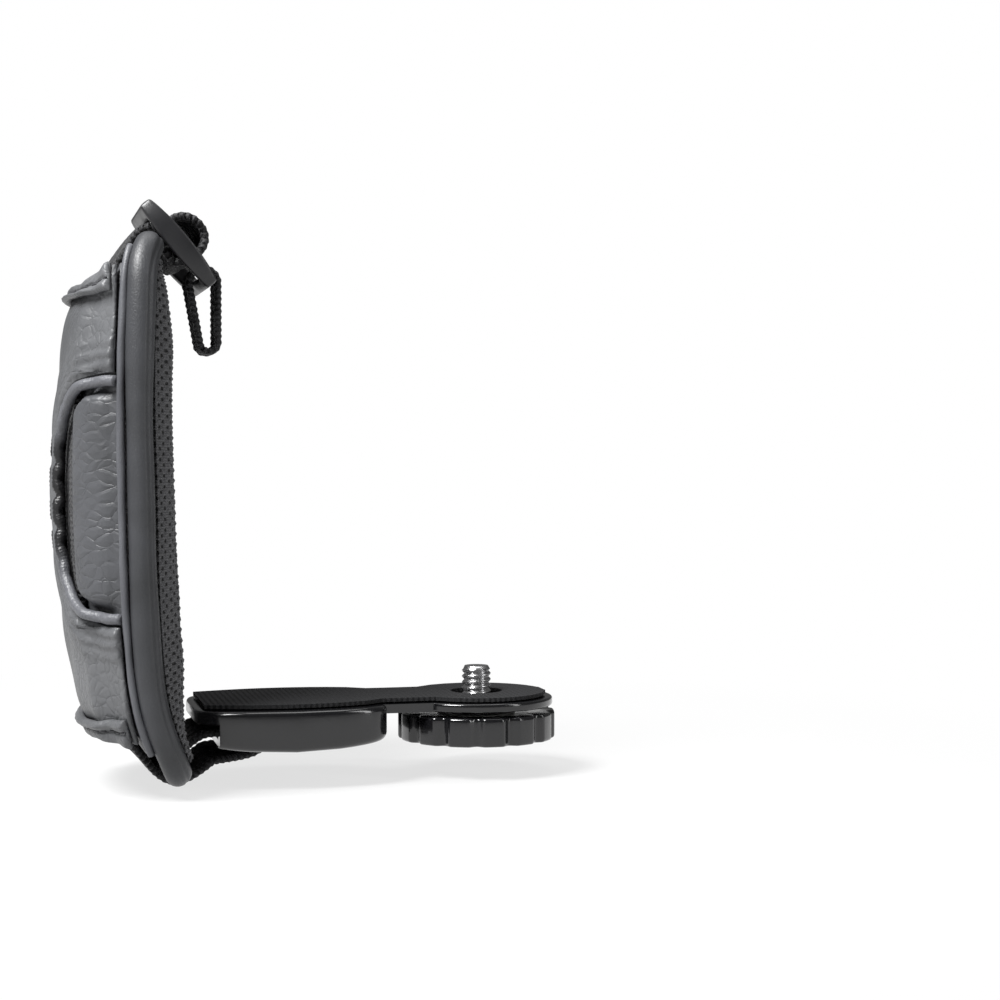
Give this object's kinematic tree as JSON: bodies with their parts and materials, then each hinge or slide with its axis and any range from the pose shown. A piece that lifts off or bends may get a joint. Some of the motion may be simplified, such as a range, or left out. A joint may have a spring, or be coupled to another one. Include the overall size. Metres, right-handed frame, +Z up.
{
  "type": "camera hand grip strap",
  "caption": "Padded camera hand strap: an arched leatherette pad on webbing, with a slide buckle and lug loop above and a moulded plate with a tripod thumbscrew below.",
  "frame": {"origin": "on the rubber face the camera sits on, on the plate's middle line, 20 mm from the tripod screw's axis", "axes": "+Z up out of the rubber face into the camera, +X from the hand pad to the tripod screw, Y across the webbing"},
  "size_m": [0.1079, 0.0618, 0.1204],
  "materials": {
    "leatherette": "fine pebble grain, satin",
    "binding": "smooth leatherette, satin",
    "knit": "open spacer knit, matt",
    "foam": "open cell foam, matt",
    "webbing": "herringbone weave, matt",
    "satin_plastic": "satin moulded",
    "gloss_plastic": "gloss moulded",
    "seat_rubber": "matt",
    "steel": "turned",
    "nylon": "natural nylon"
  },
  "bodies": {
    "strap": {"base_plate": "gloss_plastic", "seat_pad": "seat_rubber", "hand_lining": "knit", "foam_core": "foam", "back_panel": "leatherette", "edge_binding": "binding", "outer_cover": "leatherette", "window_rim_near": "leatherette", "window_rim_far": "leatherette", "upper_cross_band": "leatherette", "lower_cross_band": "leatherette", "main_webbing": "webbing", "lug_webbing": "webbing", "buckle": "satin_plastic", "wheel_washer": "nylon"},
    "wheel": {"thumbwheel": "gloss_plastic", "tripod_screw": "steel", "socket_insert": "steel", "retaining_clip": "steel"}
  },
  "joints": [
    {"name": "wheel_spin", "type": "hinge", "parent": "strap", "child": "wheel", "pos_m": [0.02, 0, -0.0072], "axis": [0, 0, 1], "continuous": true}
  ]
}
